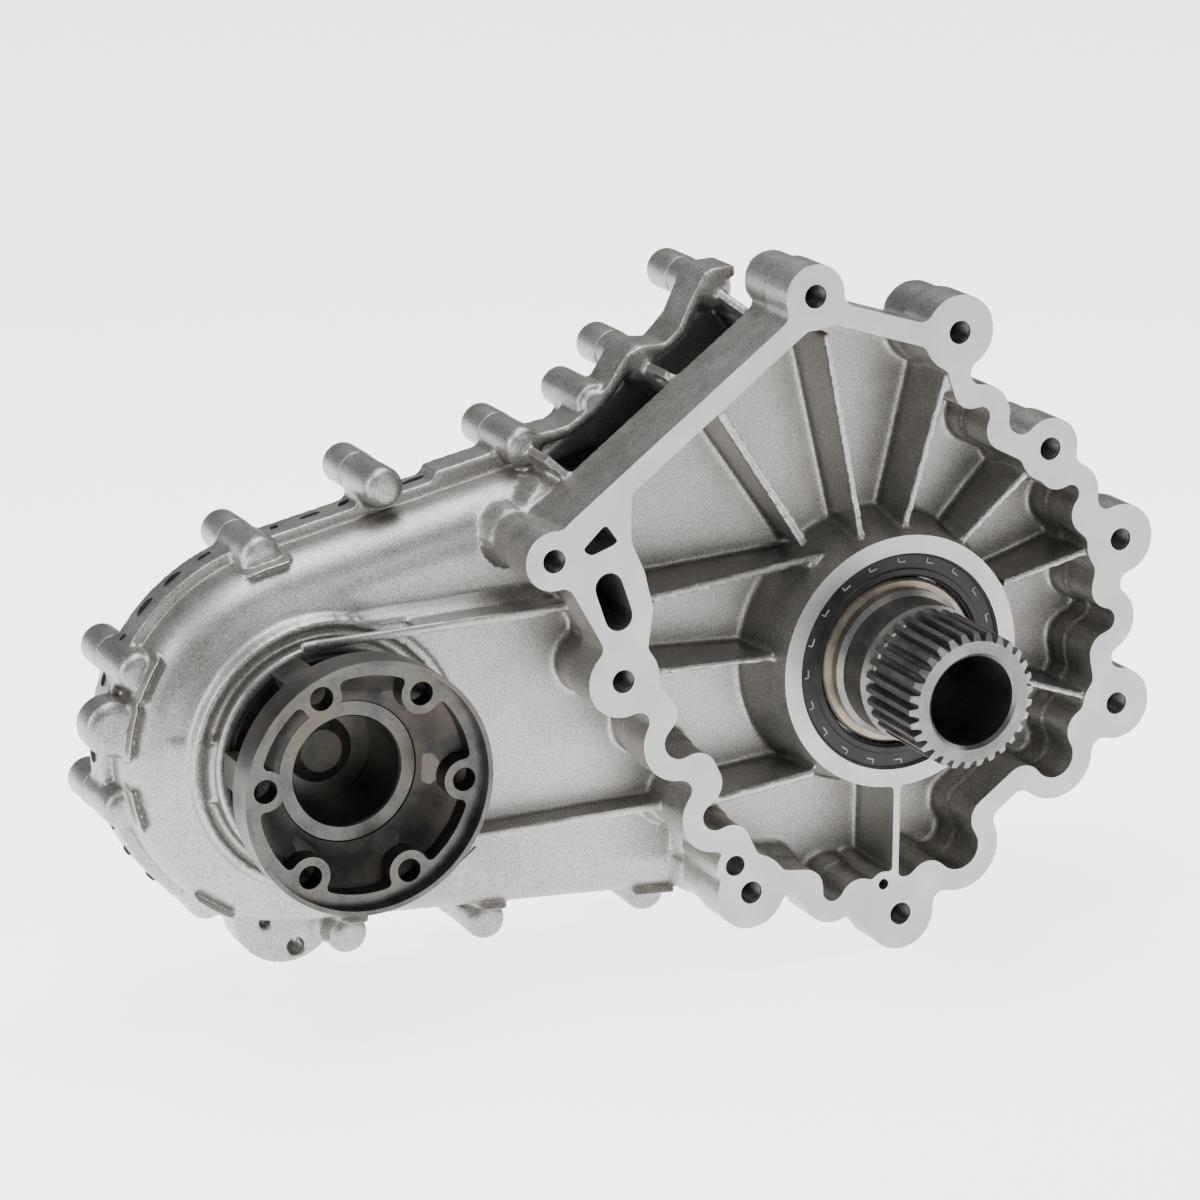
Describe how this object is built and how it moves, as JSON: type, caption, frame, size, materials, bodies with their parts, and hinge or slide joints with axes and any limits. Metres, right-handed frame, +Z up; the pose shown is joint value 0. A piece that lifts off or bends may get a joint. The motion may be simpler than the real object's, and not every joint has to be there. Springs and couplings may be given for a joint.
{
  "type": "transfer case",
  "caption": "Chain-driven full-time transfer case: cast housing with a ribbed bell flange, hollow splined input, planetary centre differential, front output flange and rear output flange.",
  "frame": {"origin": "main axis at the bell's mounting face", "axes": "-Y out of the bell along the main axis, +Z up, +X away from the front output"},
  "size_m": [0.4691, 0.26, 0.3056],
  "materials": {
    "cast_aluminium": "blasted die casting",
    "plated_steel": "zinc plated",
    "seal_rubber": "moulded rubber",
    "cast_iron_flange": "turned cast iron, slightly oxidised",
    "machined_steel": "turned and ground",
    "oiled_steel": "oiled chain steel"
  },
  "bodies": {
    "case": {"front_case": "cast_aluminium", "rear_case": "cast_aluminium", "case_bolts": "plated_steel", "dowel_pins": "plated_steel", "fill_plug": "plated_steel", "drain_plug": "plated_steel", "breather": "plated_steel", "input_bearing_outer_ring": "machined_steel", "output_bearing_outer_ring": "machined_steel", "tail_bearing_outer_ring": "machined_steel", "rear_bearing_outer_ring": "machined_steel", "bearing_circlip": "machined_steel", "input_seal": "seal_rubber", "output_seal": "seal_rubber", "rear_seal": "seal_rubber", "drive_chain": "oiled_steel"},
    "input": {"input_shaft": "machined_steel", "dust_deflector": "machined_steel", "shaft_spacer": "machined_steel", "planet_carrier": "machined_steel", "planet_pins": "machined_steel", "input_bearing_inner_ring": "machined_steel"},
    "sun": {"sun_gear": "machined_steel", "drive_sprocket": "machined_steel"},
    "planet_1": {"planet_gear_1": "machined_steel"},
    "planet_2": {"planet_gear_2": "machined_steel"},
    "planet_3": {"planet_gear_3": "machined_steel"},
    "rear_output": {"ring_gear": "machined_steel", "rear_output_shaft": "machined_steel", "rear_hub": "machined_steel", "rear_flange": "cast_iron_flange", "rear_nut": "machined_steel", "rear_bearing_inner_ring": "machined_steel"},
    "front_output": {"output_flange": "cast_iron_flange", "output_shaft": "machined_steel", "output_nut": "machined_steel", "driven_sprocket": "machined_steel", "output_bearing_inner_ring": "machined_steel", "tail_bearing_inner_ring": "machined_steel"}
  },
  "joints": [
    {"name": "input_spin", "type": "hinge", "parent": "case", "child": "input", "pos_m": [0, 0, 0], "axis": [0, 1, 0], "continuous": true},
    {"name": "front_output_spin", "type": "hinge", "parent": "case", "child": "front_output", "pos_m": [-0.24703, 0, -0.01749], "axis": [0, 1, 0], "continuous": true, "deforming": ["drive_chain"]},
    {"name": "sun_spin", "type": "hinge", "parent": "input", "child": "sun", "pos_m": [0, 0.1, 0], "axis": [0, 1, 0], "continuous": true},
    {"name": "rear_output_spin", "type": "hinge", "parent": "input", "child": "rear_output", "pos_m": [0, 0.1, 0], "axis": [0, 1, 0], "continuous": true},
    {"name": "planet_1_spin", "type": "hinge", "parent": "input", "child": "planet_1", "pos_m": [0, 0.1, 0.039], "axis": [0, 1, 0], "continuous": true},
    {"name": "planet_2_spin", "type": "hinge", "parent": "input", "child": "planet_2", "pos_m": [-0.03377, 0.1, -0.0195], "axis": [0, 1, 0], "continuous": true},
    {"name": "planet_3_spin", "type": "hinge", "parent": "input", "child": "planet_3", "pos_m": [0.03377, 0.1, -0.0195], "axis": [0, 1, 0], "continuous": true}
  ],
  "couplings": [
    {"joint": "front_output_spin", "follows": "input_spin", "ratio": 1},
    {"joint": "rear_output_spin", "follows": "sun_spin", "ratio": -0.44444},
    {"joint": "planet_1_spin", "follows": "sun_spin", "ratio": -1.6},
    {"joint": "planet_2_spin", "follows": "sun_spin", "ratio": -1.6},
    {"joint": "planet_3_spin", "follows": "sun_spin", "ratio": -1.6}
  ]
}
